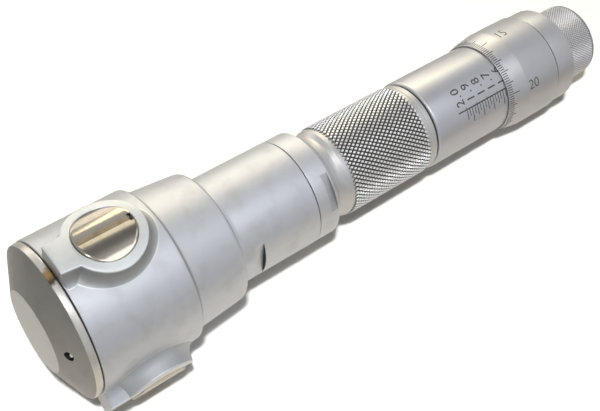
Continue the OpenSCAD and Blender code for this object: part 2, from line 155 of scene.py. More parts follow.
scene.view_settings.view_transform = "Standard"

# The floor darkens away from the tool in reflections, and glows to the lens so that it ends in white.
FLOOR_HALF = 1.2
floor_corners = [(-1, -1), (1, -1), (1, 1), (-1, 1)]
floor_mesh = bpy.data.meshes.new("floor")
floor_mesh.from_pydata([(x * FLOOR_HALF, y * FLOOR_HALF, 0) for x, y in floor_corners], [], [(0, 1, 2, 3)])
floor = bpy.data.objects.new("floor", floor_mesh)
scene.collection.objects.link(floor)
paper = bpy.data.materials.new("white_paper")
paper.use_nodes = True
sheet = paper.node_tree
paper_shader = sheet.nodes["Principled BSDF"]
paper_shader.inputs["Roughness"].default_value = 0.9
tone = colour_mix(sheet, {"A": (0.87, 0.865, 0.855, 1.0)})
spread = colour_mix(sheet, {"A": (0.58, 0.56, 0.53, 1.0), "B": (0.3, 0.3, 0.3, 1.0)})
floor_place = sheet.nodes.new("ShaderNodeTexCoord")
shrunk = node_with(sheet, "ShaderNodeVectorMath", {1: (10.0, 20.0, 0.0)}, operation="MULTIPLY")
reach = node_with(sheet, "ShaderNodeVectorMath", operation="LENGTH")
far_away = node_with(sheet, "ShaderNodeMapRange", {"From Min": 0.8, "From Max": 2.0})
fade_out = node_with(
    sheet, "ShaderNodeMapRange", {"From Min": 1.3, "From Max": 4.5, "To Min": 0.03, "To Max": 1.0})
glow = node_with(sheet, "ShaderNodeEmission", {"Color": (0.85, 0.92, 1.0, 1.0)})
ray = sheet.nodes.new("ShaderNodeLightPath")
level = node_with(sheet, "ShaderNodeMath", operation="MULTIPLY")
added = sheet.nodes.new("ShaderNodeAddShader")
wire = sheet.links.new
wire(ray.outputs["Is Camera Ray"], level.inputs[0])
wire(ray.outputs["Is Glossy Ray"], tone.inputs["Factor"])
wire(floor_place.outputs["Object"], shrunk.inputs[0])
wire(shrunk.outputs["Vector"], reach.inputs[0])
wire(reach.outputs["Value"], far_away.inputs["Value"])
wire(reach.outputs["Value"], fade_out.inputs["Value"])
wire(fade_out.outputs["Result"], level.inputs[1])
wire(far_away.outputs["Result"], spread.inputs["Factor"])
wire(spread.outputs["Result"], tone.inputs["B"])
wire(tone.outputs["Result"], paper_shader.inputs["Base Color"])
wire(level.outputs[0], glow.inputs["Strength"])
wire(paper_shader.outputs[0], added.inputs[0])
wire(glow.outputs[0], added.inputs[1])
wire(added.outputs[0], sheet.nodes["Material Output"].inputs["Surface"])
floor.data.materials.append(paper)


# Head housing: one turned steel piece, dull chrome plated, with a tapered shoulder and a neck.
# Three bosses stand out of it, each with a cove round its foot and a tab to the front edge.
HEAD_R = 16.6
HEAD_LEN = 21.9
SHOULDER_END = 34.2
SHOULDER_FRONT_R = 15.3
SHOULDER_REAR_R = 14.25
NECK_R = 11.8
COLLAR_X = 54.3
CAVITY_R = 11.4
CAVITY_END = 30.5
SHANK_HOLE_R = 7.1
SOCKET_X = 44.0
SOCKET_R = 8.7
NECK_SLOT_X = 39.05
SPANNER_W = 2.2
BOSS_X = 10.8
BOSS_R = 8.0
BOSS_FACE_R = 20.0
BOSS_ROOT_R = 13.5
BOSS_EDGE = 0.3
TAB_HALF_FRONT = 3.5
TAB_HALF_REAR = 4.5
COVE = 2.3
COVE_ROWS = (9, 17)
ANVIL_R = 6.0
FIT = 0.04
MOUTH = 0.15
BOSS_ANGLES = (0.0, 120.0, 240.0)
MARK_DEPTH = 0.00002
ROUGH_GAIN = 0.08
SCRATCH_CUT = 0.66


def shader_group(name, inputs, outputs):
    # A shader group whose sockets are all plain values.
    group = bpy.data.node_groups.new(name, "ShaderNodeTree")
    for label, value in inputs.items():
        made = group.interface.new_socket(label, in_out="INPUT", socket_type="NodeSocketFloat")
        made.default_value = value
    for label in outputs:
        group.interface.new_socket(label, in_out="OUTPUT", socket_type="NodeSocketFloat")
    return group, group.nodes.new("NodeGroupInput"), group.nodes.new("NodeGroupOutput")


def feed(tree, node, values):
    # Sets or links the first inputs of a node.
    for place, value in enumerate(values):
        if isinstance(value, (int, float)):
            node.inputs[place].default_value = value
        else:
            tree.links.new(value, node.inputs[place])
    return node.outputs[0]


def math_node(tree, operation, first, second=0.0):
    return feed(tree, node_with(tree, "ShaderNodeMath", operation=operation), (first, second))


def clamped(tree, value, top=1.0):
    return math_node(tree, "MINIMUM", math_node(tree, "MAXIMUM", value), top)


def tool_coordinates(tree):
    # Object coordinates moved and turned on to the tool's axis, in millimetres.
    place = tree.nodes.new("ShaderNodeTexCoord")
    turned = node_with(tree, "ShaderNodeMapping", {
        "Location": -(TOOL.to_3x3().transposed() @ zero) / MM,
        "Rotation": (0.0, -TILT, 0.0),
        "Scale": (1 / MM, 1 / MM, 1 / MM)}, vector_type="POINT")
    tree.links.new(place.outputs["Object"], turned.inputs["Vector"])
    return turned.outputs["Vector"]


def stretched_noise(tree, vector, stretch, detail):
    fit = node_with(tree, "ShaderNodeMapping", {"Scale": stretch})
    tree.links.new(vector, fit.inputs["Vector"])
    noise = node_with(tree, "ShaderNodeTexNoise", {"Scale": 1.0, "Detail": detail})
    tree.links.new(fit.outputs["Vector"], noise.inputs["Vector"])
    return noise.outputs["Fac"]


# Fine rings left by the lathe tool, and the even grain of a blasted plate.
turning, turning_in, turning_out = shader_group(
    "turning_marks", {"Lines": 1.0, "Grain": 1.0}, ("Height", "Shade"))
spot = tool_coordinates(turning)
rings = stretched_noise(turning, spot, (9.0, 0.12, 0.12), 3.0)
grain = stretched_noise(turning, spot, (7.0, 7.0, 7.0), 4.0)
ring_part = math_node(turning, "MULTIPLY", rings, turning_in.outputs["Lines"])
grain_part = math_node(turning, "MULTIPLY", grain, turning_in.outputs["Grain"])
turning.links.new(math_node(turning, "ADD", ring_part, grain_part), turning_out.inputs["Height"])
turning.links.new(stretched_noise(turning, spot, (0.22, 0.12, 0.12), 3.0), turning_out.inputs["Shade"])

# Handling: soft blotches of tarnish and a few fine scratches that run across the tool.
handling, handling_in, handling_out = shader_group(
    "handling", {"Blotch": 0.5, "Scratch": 0.5}, ("Tarnish", "Scratches"))
spot = tool_coordinates(handling)
cloud = stretched_noise(handling, spot, (0.3, 0.3, 0.3), 6.0)
cloud_cut = math_node(handling, "MULTIPLY", math_node(handling, "SUBTRACT", cloud, 0.5), 4.0)
cloud_top = math_node(handling, "MAXIMUM", cloud_cut)
blotches = math_node(handling, "MULTIPLY", cloud_top, handling_in.outputs["Blotch"])
handling.links.new(blotches, handling_out.inputs["Tarnish"])
lines = stretched_noise(handling, spot, (0.9, 5.0, 0.35), 2.0)
line_cut = math_node(handling, "GREATER_THAN", lines, SCRATCH_CUT)
scratches = math_node(handling, "MULTIPLY", line_cut, handling_in.outputs["Scratch"])
handling.links.new(scratches, handling_out.inputs["Scratches"])

# Painted shade below a given radius, deepest at the bottom of knurls and grooves.
valley_shading, valley_shading_in, valley_shading_out = shader_group(
    "painted_valley_shade", {"Unshaded radius": 0.0, "Fade": 0.2}, ("Painted shade",))
flattened = node_with(valley_shading, "ShaderNodeVectorMath", {1: (0.0, 1.0, 1.0)}, operation="MULTIPLY")
valley_shading.links.new(tool_coordinates(valley_shading), flattened.inputs[0])
distance = node_with(valley_shading, "ShaderNodeVectorMath", operation="LENGTH")
valley_shading.links.new(flattened.outputs["Vector"], distance.inputs[0])
below = math_node(valley_shading, "SUBTRACT", valley_shading_in.outputs["Unshaded radius"], distance.outputs["Value"])
share = math_node(valley_shading, "DIVIDE", below, valley_shading_in.outputs["Fade"])
valley_shading.links.new(clamped(valley_shading, share), valley_shading_out.inputs["Painted shade"])

# Painted shade in a ring round the tool, where one turned face steps down to the next.
corner_shading, corner_shading_in, corner_shading_out = shader_group(
    "painted_corner_shade", {"Corner": 0.0, "Width": 0.5}, ("Painted shade",))
parts = corner_shading.nodes.new("ShaderNodeSeparateXYZ")
corner_shading.links.new(tool_coordinates(corner_shading), parts.inputs[0])
from_corner = math_node(corner_shading, "SUBTRACT", parts.outputs[0], corner_shading_in.outputs["Corner"])
from_corner = math_node(corner_shading, "ABSOLUTE", from_corner)
share = math_node(corner_shading, "DIVIDE", from_corner, corner_shading_in.outputs["Width"])
left_over = math_node(corner_shading, "MAXIMUM", math_node(corner_shading, "SUBTRACT", 1.0, share))
corner_shading.links.new(left_over, corner_shading_out.inputs["Painted shade"])


def add_painted_shade(material, group, sizes, colour, amount):
    # Darkens a metal with painted shade where the given group puts it.
    tree = material.node_tree
    shader = tree.nodes["Principled BSDF"]
    plain = shader.inputs["Base Color"].links[0].from_socket
    shade_node = node_with(tree, "ShaderNodeGroup", sizes, node_tree=group)
    shade_mix = colour_mix(tree, {"B": (*colour, 1.0)})
    tree.links.new(math_node(tree, "MULTIPLY", shade_node.outputs["Painted shade"], amount), shade_mix.inputs["Factor"])
    tree.links.new(plain, shade_mix.inputs["A"])
    tree.links.new(shade_mix.outputs["Result"], shader.inputs["Base Color"])


def plated_metal(name, colour, tarnish, roughness, lines, grain, blotch, scratch, bump=0.25, metallic=1.0):
    # A metal with turning marks, grain, tarnish in blotches and fine scratches.
    material = bpy.data.materials.new(name)
    material.use_nodes = True
    tree = material.node_tree
    shader = tree.nodes["Principled BSDF"]
    shader.inputs["Metallic"].default_value = metallic
    marks = node_with(tree, "ShaderNodeGroup", {"Lines": lines, "Grain": grain}, node_tree=turning)
    wear = node_with(tree, "ShaderNodeGroup", {"Blotch": blotch, "Scratch": scratch}, node_tree=handling)
    tint = colour_mix(tree, {"A": (*colour, 1.0), "B": (*tarnish, 1.0)})
    shade = math_node(tree, "MULTIPLY", math_node(tree, "SUBTRACT", marks.outputs["Shade"], 0.5), 0.5)
    stained = math_node(tree, "ADD", wear.outputs["Tarnish"], shade)
    tree.links.new(clamped(tree, stained), tint.inputs["Factor"])
    tree.links.new(tint.outputs["Result"], shader.inputs["Base Color"])
    rough = roughness - 0.06
    for operation, cause in (
            ("ADD", marks.outputs["Height"]), ("ADD", wear.outputs["Tarnish"]),
            ("SUBTRACT", wear.outputs["Scratches"])):
        rough = math_node(tree, operation, rough, math_node(tree, "MULTIPLY", cause, ROUGH_GAIN))
    tree.links.new(rough, shader.inputs["Roughness"])
    height = math_node(tree, "SUBTRACT", marks.outputs["Height"], wear.outputs["Scratches"])
    relief = node_with(tree, "ShaderNodeBump", {"Strength": bump, "Distance": MARK_DEPTH})
    tree.links.new(height, relief.inputs["Height"])
    tree.links.new(relief.outputs["Normal"], shader.inputs["Normal"])
    return material


def filleted(corners, steps=5):
    # A profile of (x, radius, rounding) corners, with an arc in place of each rounded corner.
    points = []
    count = len(corners)
    for i, (x, r, rounding) in enumerate(corners):
        here = Vector((x, r))
        if rounding == 0:
            points.append((x, r))
            continue
        before = Vector(corners[i - 1][:2]) - here
        after = Vector(corners[(i + 1) % count][:2]) - here
        half = before.angle(after) / 2
        reach = min(rounding / math.tan(half), before.length * 0.49, after.length * 0.49)
        start = here + before.normalized() * reach
        end = here + after.normalized() * reach
        for k in range(steps + 1):
            t = k / steps
            p = start * (1 - t) ** 2 + here * 2 * t * (1 - t) + end * t ** 2
            points.append((p.x, p.y))
    return points


def to_object(name, bm, material, smooth=30.0):
    # Turns a mesh drawn in tool millimetres into a piece that lies in the frame.
    bmesh.ops.remove_doubles(bm, verts=bm.verts, dist=1e-5)
    bmesh.ops.recalc_face_normals(bm, faces=bm.faces)
    mesh = bpy.data.meshes.new(name)
    bm.to_mesh(mesh)
    bm.free()
    mesh.transform(TOOL @ Matrix.Scale(MM, 4))
    mesh.materials.append(material)
    mesh.polygons.foreach_set("use_smooth", [True] * len(mesh.polygons))
    mesh.set_sharp_from_angle(angle=math.radians(smooth))
    made = bpy.data.objects.new(name, mesh)
    scene.collection.objects.link(made)
    return made


def lathe(bm, profile, steps=160):
    # Spins a closed (x, radius) profile about the tool's axis.
    rings = []
    for k in range(steps):
        a = 2 * math.pi * k / steps
        rings.append([bm.verts.new((x, r * math.sin(a), r * math.cos(a))) for x, r in profile])
    for k in range(steps):
        one, two = rings[k], rings[(k + 1) % steps]
        for i in range(len(profile)):
            j = (i + 1) % len(profile)
            corners = [one[i], one[j], two[j], two[i]]
            if profile[i][1] < 1e-6 and profile[j][1] < 1e-6:
                continue
            if profile[i][1] < 1e-6:
                corners = [one[i], one[j], two[j]]
            elif profile[j][1] < 1e-6:
                corners = [one[i], one[j], two[i]]
            bm.faces.new(corners)


def turned_piece(name, material, steps, corners):
    bm = bmesh.new()
    lathe(bm, filleted(corners), steps)
    return to_object(name, bm, material)


def settled(piece, modifier):
    # The plain mesh that a modifier makes, with the modifier taken off again.
    bpy.context.view_layer.update()
    made = bpy.data.meshes.new_from_object(piece.evaluated_get(bpy.context.evaluated_depsgraph_get()))
    piece.modifiers.remove(modifier)
    return made


def cut_away(piece, name, build):
    # Takes a tool-shaped solid out of a piece.
    bm = bmesh.new()
    build(bm)
    cutter = to_object(name, bm, piece.data.materials[0])
    knife = piece.modifiers.new("cut", "BOOLEAN")
    knife.object = cutter
    knife.operation = "DIFFERENCE"
    knife.solver = "EXACT"
    knife.use_self = False
    piece.data = settled(piece, knife)
    piece.data.set_sharp_from_angle(angle=math.radians(30.0))
    bpy.data.objects.remove(cutter)


def tool_faces(piece):
    # Each face of a piece, with its middle and its direction as the tool lies, in millimetres.
    to_tool = TOOL.inverted()
    for face in piece.data.polygons:
        yield face, (to_tool @ face.center) / MM, to_tool.to_3x3() @ face.normal


def swung(angle):
    # A turn about the tool's axis, in degrees from the top.
    return Matrix.Rotation(math.radians(-angle), 4, "X")


def radial_round(bm, x, angle, radius, low, high, steps=64):
    # A round bar that points away from the axis.
    made = bmesh.ops.create_cone(
        bm, cap_ends=True, segments=steps, radius1=radius, radius2=radius, depth=high - low)
    place = swung(angle) @ Matrix.Translation((x, 0, (low + high) / 2))
    bmesh.ops.transform(bm, matrix=place, verts=made["verts"])


def block(bm, angle, middle, size):
    # A rectangular block, swung about the tool's axis.
    made = bmesh.ops.create_cube(bm, size=1.0)
    place = swung(angle) @ Matrix.Translation(middle) @ Matrix.Diagonal((*size, 1))
    bmesh.ops.transform(bm, matrix=place, verts=made["verts"])


def chord_block(bm, x, width, angle, radius, depth):
    # The block that a slotting cutter takes out of a round.
    block(bm, angle, (x, 0, radius * 1.5 - depth), (width, 2 * radius, radius))


def boss_outline(angle):
    # Distance from the anvil's axis to the boss's edge: a ring, with a tab to the head's front edge.
    c, s = math.cos(angle), math.sin(angle)
    reach = BOSS_R
    if c < 0:
        front = BOSS_X / -c
        widen = (TAB_HALF_REAR - TAB_HALF_FRONT) / BOSS_X
        side = TAB_HALF_REAR / max(abs(s) + widen * -c, 1e-6)
        reach = max(reach, min(front, side))
    return reach


def boss(bm, angle, cove_shade, steps=288):
    # Rows of points from the bore, over the face, down the cove and under the head's skin.
    rise = BOSS_FACE_R - HEAD_R
    bore = ANVIL_R + FIT
    inside = [(bore, BOSS_ROOT_R), (bore, BOSS_FACE_R - MOUTH), (bore + MOUTH, BOSS_FACE_R)]
    face = [0.25, 0.5, 0.75]
    edge = [(-BOSS_EDGE, 0.0), (-0.12, 0.03), (-0.03, 0.12), (0.0, BOSS_EDGE)]
    cove_steps = 9
    columns = []
    for k in range(steps):
        a = 2 * math.pi * k / steps
        out = boss_outline(a)
        foot = Vector((out * math.cos(a), out * math.sin(a)))
        aside = Vector((math.cos(a), math.sin(a)))
        if out > BOSS_R + 0.001 and foot.x > -BOSS_X + 0.001:
            lean = min(max((-foot.x / BOSS_X - 0.55) / 0.3, 0.0), 1.0)
            aside = aside.lerp(Vector((0.0, math.copysign(1.0, foot.y))), lean).normalized()
        rows = list(inside)
        rows += [(bore + MOUTH + (out - BOSS_EDGE - bore - MOUTH) * t, BOSS_FACE_R) for t in face]
        rows += [(out + d, BOSS_FACE_R - drop) for d, drop in edge]
        for i in range(1, cove_steps + 1):
            t = i / cove_steps
            bend = math.sqrt(1 - (1 - t) ** 2)
            rows.append((out + COVE * t ** 1.15, BOSS_FACE_R - BOSS_EDGE - (rise - BOSS_EDGE) * bend))
        rows += [(out + COVE + 0.5, HEAD_R - 0.12), (out + COVE, HEAD_R - 1.0)]
        rows.append((ANVIL_R + 0.6, BOSS_ROOT_R))
        column = []
        for reach, height in rows:
            spot = foot * reach / out if reach < out - 0.31 else foot + aside * (reach - out)
            x = max(BOSS_X + spot.x, 0.0)
            y = spot.y
            swing = math.asin(max(-0.95, min(0.95, y / BOSS_FACE_R))) + math.radians(angle)
            column.append(bm.verts.new((x, height * math.sin(swing), height * math.cos(swing))))
        columns.append(column)
    size = len(columns[0])
    for k in range(steps):
        one, two = columns[k], columns[(k + 1) % steps]
        for i in range(size):
            j = (i + 1) % size
            made = bm.faces.new([one[i], one[j], two[j], two[i]])
            # The cove's rows take the painted shade material given for this boss.
            made.material_index = cove_shade if COVE_ROWS[0] <= i < COVE_ROWS[1] else 0


head_plate = plated_metal(
    "head_plate", (0.66, 0.665, 0.68), (0.52, 0.515, 0.5),
    roughness=0.5, lines=0.3, grain=1.0, blotch=0.4, scratch=0.5)
# Painted shade: dark rings where the head steps down to the shoulder and the shoulder to the neck.
for corner in (HEAD_LEN + 0.15, SHOULDER_END + 0.2):
    add_painted_shade(head_plate, corner_shading, {"Corner": corner, "Width": 0.6}, (0.17, 0.15, 0.11), 0.9)
head = turned_piece("head_housing_shell", head_plate, 192, [
    (0.0, CAVITY_R, 0), (0.0, HEAD_R, 0.25), (HEAD_LEN, HEAD_R, 0.9), (HEAD_LEN, SHOULDER_FRONT_R, 0.25),
    (SHOULDER_END, SHOULDER_REAR_R, 1.0), (SHOULDER_END, NECK_R + 0.25, 0.3),
    (SHOULDER_END + 1.4, NECK_R, 0.4),
    (COLLAR_X - 0.05, NECK_R, 0.2), (COLLAR_X - 0.05, SOCKET_R, 0), (SOCKET_X, SOCKET_R, 0),
    (SOCKET_X, SHANK_HOLE_R, 0), (CAVITY_END, SHANK_HOLE_R, 0), (CAVITY_END, CAVITY_R, 0)])


def head_cuts(bm):
    for angle in BOSS_ANGLES:
        radial_round(bm, BOSS_X, angle, ANVIL_R + FIT, low=9.0, high=HEAD_R + 2.0)
    chord_block(bm, NECK_SLOT_X, SPANNER_W, angle=-85.0, radius=NECK_R, depth=0.95)


cut_away(head, "head_cutter", head_cuts)
bm = bmesh.new()
# Painted shade: the upper boss's cove takes the dark copy (1), the lower bosses' coves the less dark one
# (2).
for boss_angle, cove_shade in zip(BOSS_ANGLES, (1, 2, 2)):
    boss(bm, boss_angle, cove_shade)
boss_plate = plated_metal(
    "boss_plate", (0.74, 0.755, 0.745), (0.6, 0.605, 0.59),
    roughness=0.5, lines=0.2, grain=1.0, blotch=0.4, scratch=0.4)
bosses = to_object("head_bosses", bm, boss_plate, 40.0)
# Painted shade: a dark copy of the boss plate for the upper boss's cove, and a less dark, rougher one for
# the coves of the two lower bosses.
painted_shade_cove = plated_metal(
    "painted_shade_cove", (0.47, 0.47, 0.46), (0.36, 0.355, 0.34),
    roughness=0.52, lines=0.4, grain=1.2, blotch=0.5, scratch=0.3)
painted_shade_lower_cove = plated_metal(
    "painted_shade_lower_cove", (0.57, 0.58, 0.59), (0.46, 0.455, 0.44),
    roughness=0.64, lines=0.3, grain=1.0, blotch=0.4, scratch=0.5)
bosses.data.materials.append(painted_shade_cove)
bosses.data.materials.append(painted_shade_lower_cove)
# Painted shade: a near-black copy of the plate on the rear wall of the neck slot.
neck_slot_shade = plated_metal(
    "neck_slot_shade", (0.07, 0.08, 0.08), (0.03, 0.035, 0.035),
    roughness=0.6, lines=0.2, grain=0.8, blotch=0.8, scratch=0.0)
head.data.materials.append(neck_slot_shade)
for face, middle, facing in tool_faces(head):
    at_flank = abs(middle.x - NECK_SLOT_X - SPANNER_W / 2) < 0.02
    if at_flank and facing.x < -0.9 and math.hypot(middle.y, middle.z) > NECK_R - 0.9:
        face.material_index = 1
for piece in (head, bosses):
    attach(piece, "frame")
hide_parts("head_housing")


# Front cap: a turned steel nose screwed into the head, darker and finer than the plate behind it.
# It has a bright narrow rim, a cone, a flat front and pin holes for a spanner.
RIM_R = 16.5
RIM_LEN = 1.65
NOSE_LEN = 5.1
NOSE_R = 8.8
CAP_TAIL = 2.4
SPRING_HOLE_X = -3.5
SPRING_HOLE_R = 6.6
PIN_CIRCLE_R = 11.8
PIN_R = 1.0
PIN_DEPTH = 3.3
PIN_X = -NOSE_LEN + 1.15
PIN_ANGLES = (-64.5, 115.5)
cap_steel = plated_metal(
    "cap_steel", (0.34, 0.333, 0.31), (0.26, 0.25, 0.225),
    roughness=0.46, lines=0.8, grain=0.4, blotch=0.4, scratch=0.3)
cap = turned_piece("front_cap_shell", cap_steel, 192, [
    (-NOSE_LEN, 0.0, 0), (-NOSE_LEN, NOSE_R, 0.35), (-RIM_LEN, RIM_R - 0.2, 0.25), (-0.2, RIM_R, 0.3),
    (-0.2, CAVITY_R - 0.1, 0), (CAP_TAIL, CAVITY_R - 0.1, 0.2), (CAP_TAIL, SPRING_HOLE_R, 0),
    (SPRING_HOLE_X, SPRING_HOLE_R, 0), (SPRING_HOLE_X, 0.0, 0)])


def cap_cuts(bm):
    for angle in PIN_ANGLES:
        made = bmesh.ops.create_cone(
            bm, cap_ends=True, segments=40, radius1=PIN_R, radius2=PIN_R, depth=PIN_DEPTH)
        place = swung(angle) @ Matrix.Translation((PIN_X, 0, PIN_CIRCLE_R))
        bmesh.ops.transform(bm, matrix=place @ Matrix.Rotation(math.pi / 2, 4, "Y"), verts=made["verts"])


cut_away(cap, "cap_cutter", cap_cuts)
rim_steel = plated_metal(
    "rim_steel", (0.7, 0.67, 0.61), (0.5, 0.47, 0.42),
    roughness=0.34, lines=1.0, grain=0.3, blotch=0.4, scratch=0.4)
nose_steel = plated_metal(
    "nose_steel", (0.58, 0.58, 0.565), (0.48, 0.475, 0.45),
    roughness=0.5, lines=0.3, grain=0.6, blotch=0.3, scratch=0.5)
# Painted shade: near black on the walls and bottoms of the pin holes.
pin_hole_shade = plated_metal(
    "pin_hole_shade", (0.05, 0.045, 0.04), (0.03, 0.027, 0.025),
    roughness=0.6, lines=0.2, grain=0.5, blotch=0.5, scratch=0.0)
for finish in (rim_steel, nose_steel, pin_hole_shade):
    cap.data.materials.append(finish)
pin_places = []
for pin_angle in PIN_ANGLES:
    swing = math.radians(pin_angle)
    pin_places.append((math.sin(swing) * PIN_CIRCLE_R, math.cos(swing) * PIN_CIRCLE_R))
for face, middle, facing in tool_faces(cap):
    if middle.x > -RIM_LEN - 0.02:
        face.material_index = 1
    elif middle.x < -NOSE_LEN + 0.01 and math.hypot(middle.y, middle.z) < NOSE_R:
        face.material_index = 2
    # Painted shade in the pin holes.
    elif min(math.hypot(middle.y - y, middle.z - z) for y, z in pin_places) < PIN_R + 0.004:
        if abs(facing.x) < 0.3 or middle.x > PIN_X + PIN_DEPTH / 2 - 0.1:
            face.material_index = 3

# A brown rust stain on the rim, beside the upper boss, darker on its lower side.
RUST_PLACE = (-1.2, -0.7, 16.4)
RUST_REACH = 3.3
tree = rim_steel.node_tree
shader = tree.nodes["Principled BSDF"]
clean = shader.inputs["Base Color"].links[0].from_socket
spot = tool_coordinates(tree)
offset = node_with(tree, "ShaderNodeVectorMath", {1: RUST_PLACE}, operation="DISTANCE")
tree.links.new(spot, offset.inputs[0])
edge_noise = stretched_noise(tree, spot, (0.9, 0.9, 0.9), 4.0)
ragged = math_node(tree, "ADD", offset.outputs["Value"], math_node(tree, "MULTIPLY", edge_noise, 2.4))
amount = clamped(tree, math_node(tree, "SUBTRACT", RUST_REACH, ragged), 0.9)
split = tree.nodes.new("ShaderNodeSeparateXYZ")
tree.links.new(spot, split.inputs[0])
lower = math_node(tree, "DIVIDE", math_node(tree, "SUBTRACT", -0.6, split.outputs["Y"]), 1.1)
deep = colour_mix(tree, {"A": (0.44, 0.25, 0.07, 1.0), "B": (0.06, 0.03, 0.012, 1.0)})
rust = colour_mix(tree)
tree.links.new(clamped(tree, lower), deep.inputs["Factor"])
tree.links.new(deep.outputs["Result"], rust.inputs["B"])
tree.links.new(amount, rust.inputs["Factor"])
tree.links.new(clean, rust.inputs["A"])
tree.links.new(rust.outputs["Result"], shader.inputs["Base Color"])

# The steel dome seen in the bottom of each pin hole.
bm = bmesh.new()
for pin_angle in PIN_ANGLES:
    made = bmesh.ops.create_uvsphere(bm, u_segments=24, v_segments=12, radius=0.6)
    place = swung(pin_angle) @ Matrix.Translation((PIN_X + 1.0, 0, PIN_CIRCLE_R))
    bmesh.ops.transform(bm, matrix=place, verts=made["verts"])
dome_steel = plated_metal(
    "dome_steel", (0.75, 0.75, 0.76), (0.6, 0.6, 0.6),
    roughness=0.12, lines=0.2, grain=0.2, blotch=0.1, scratch=0.1, bump=0.05)
domes = to_object("cap_pin_domes", bm, dome_steel)
for piece in (cap, domes):
    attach(piece, "frame")
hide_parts("front_cap")


# Anvils: ground and polished studs of hard metal that slide in the bosses, kept from turning by a key.
# The tip is crowned round the tool's axis, with a narrow dull strip along the top and a keyway behind.
TIP_R = 20.565
CROWN_R = 10.5
GUIDE_LEN = 10.7
STRIP_W = 1.1
STRIP_HALF = ANVIL_R - 0.35
STRIP_STEPS = 24
KEY_W = 1.7
polished = plated_metal(
    "polished_anvil", (0.47, 0.425, 0.35), (0.31, 0.265, 0.2),
    roughness=0.17, lines=0.35, grain=0.15, blotch=0.5, scratch=0.3, bump=0.12)
strip_metal = plated_metal(
    "anvil_strip", (0.36, 0.295, 0.2), (0.16, 0.13, 0.09),
    roughness=0.48, lines=0.9, grain=1.2, blotch=0.9, scratch=0.3, bump=0.6)


def anvil(bm, angle, steps=96, rings=14):
    # A crowned disc on a round stud: rows of points from the middle of the tip to the foot of the guide.
    turned = swung(angle)
    centre = TIP_R - CROWN_R
    levels = [ANVIL_R * i / rings for i in range(1, rings)] + [ANVIL_R - 0.12, ANVIL_R - 0.03, ANVIL_R]
    drops = [0.0] * (rings - 1) + [0.0, 0.04, 0.14]
    top = bm.verts.new(turned @ Vector((BOSS_X, 0, TIP_R)))
    previous = None
    for reach, drop in list(zip(levels, drops)) + [(ANVIL_R, None)]:
        ring = []
        for k in range(steps):
            a = 2 * math.pi * k / steps
            x, y = reach * math.cos(a), reach * math.sin(a)
            z = TIP_R - GUIDE_LEN if drop is None else centre + math.sqrt(CROWN_R ** 2 - y ** 2) - drop
            ring.append(bm.verts.new(turned @ Vector((BOSS_X + x, y, z))))
        for k in range(steps):
            n = (k + 1) % steps
            if previous is None:
                bm.faces.new([top, ring[k], ring[n]])
            else:
                bm.faces.new([previous[k], ring[k], ring[n], previous[n]])
        previous = ring
    bm.faces.new(previous)


def strip_bar(bm, angle):
    # A thin bar let into the crown, along the tool's axis.
    sides = [[], [], [], []]
    for i in range(STRIP_STEPS + 1):
        x = BOSS_X - STRIP_HALF + (2 * STRIP_HALF - 0.7) * i / STRIP_STEPS
        for side, (y, z) in enumerate(((-1, 0.01), (1, 0.01), (1, -0.2), (-1, -0.2))):
            sides[side].append(bm.verts.new(swung(angle) @ Vector((x, y * STRIP_W / 2, TIP_R + z))))
    for side in range(4):
        one, two = sides[side], sides[(side + 1) % 4]
        for i in range(STRIP_STEPS):
            bm.faces.new([one[i], one[i + 1], two[i + 1], two[i]])
    for i in (0, STRIP_STEPS):
        bm.faces.new([sides[s][i] for s in range(4)])


for number, anvil_angle in enumerate(BOSS_ANGLES, 1):
    bm = bmesh.new()
    anvil(bm, anvil_angle)
    stud = to_object("anvil_%d_stud" % number, bm, polished)
    cut_away(stud, "keyway_cutter", partial(
        block, angle=anvil_angle, middle=(BOSS_X + ANVIL_R, 0, TIP_R - 5), size=(2.0, KEY_W, 14)))
    bm = bmesh.new()
    strip_bar(bm, anvil_angle)
    strip = to_object("anvil_%d_strip" % number, bm, strip_metal)
    for piece in (stud, strip):
        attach(piece, "anvil_%d" % number)
    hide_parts("anvil_%d" % number)


# Lock collar: a steel ring nut that locks the head to the handle, with a chordal slot for a hook spanner.
# It is turned and plated as the head is, and screwed on the handle.
COLLAR_R = 11.75
COLLAR_BORE = 8.65
COLLAR_SLOT_X = COLLAR_X + 3.75
COLLAR_SLOT_W = 1.7
WAIST_X = 60.9
collar_plate = plated_metal(
    "collar_plate", (0.66, 0.665, 0.675), (0.52, 0.51, 0.5),
    roughness=0.48, lines=0.8, grain=0.5, blotch=0.3, scratch=0.4)
collar = turned_piece("lock_collar_ring", collar_plate, 160, [
    (COLLAR_X + 0.12, COLLAR_BORE, 0), (COLLAR_X + 0.12, COLLAR_R, 0.2), (WAIST_X - 1.7, COLLAR_R, 0.3),
    (WAIST_X - 0.1, COLLAR_R - 1.5, 0.3), (WAIST_X - 0.1, COLLAR_BORE, 0)])
cut_away(collar, "collar_cutter", partial(
    chord_block, x=COLLAR_SLOT_X, width=COLLAR_SLOT_W, angle=-50.0, radius=COLLAR_R, depth=0.75))
# Painted shade: a darker copy of the collar plate on the floor and walls of the spanner slot.
collar_slot_shade = plated_metal(
    "collar_slot_shade", (0.56, 0.565, 0.57), (0.42, 0.42, 0.41),
    roughness=0.5, lines=0.3, grain=1.0, blotch=0.6, scratch=0.3)
collar.data.materials.append(collar_slot_shade)
for face, middle, facing in tool_faces(collar):
    inside_slot = abs(middle.x - COLLAR_SLOT_X) < COLLAR_SLOT_W / 2 + 0.01
    if inside_slot and 10.5 < math.hypot(middle.y, middle.z) < COLLAR_R - 0.05:
        face.material_index = 1
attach(collar, "frame")
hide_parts("lock_collar")


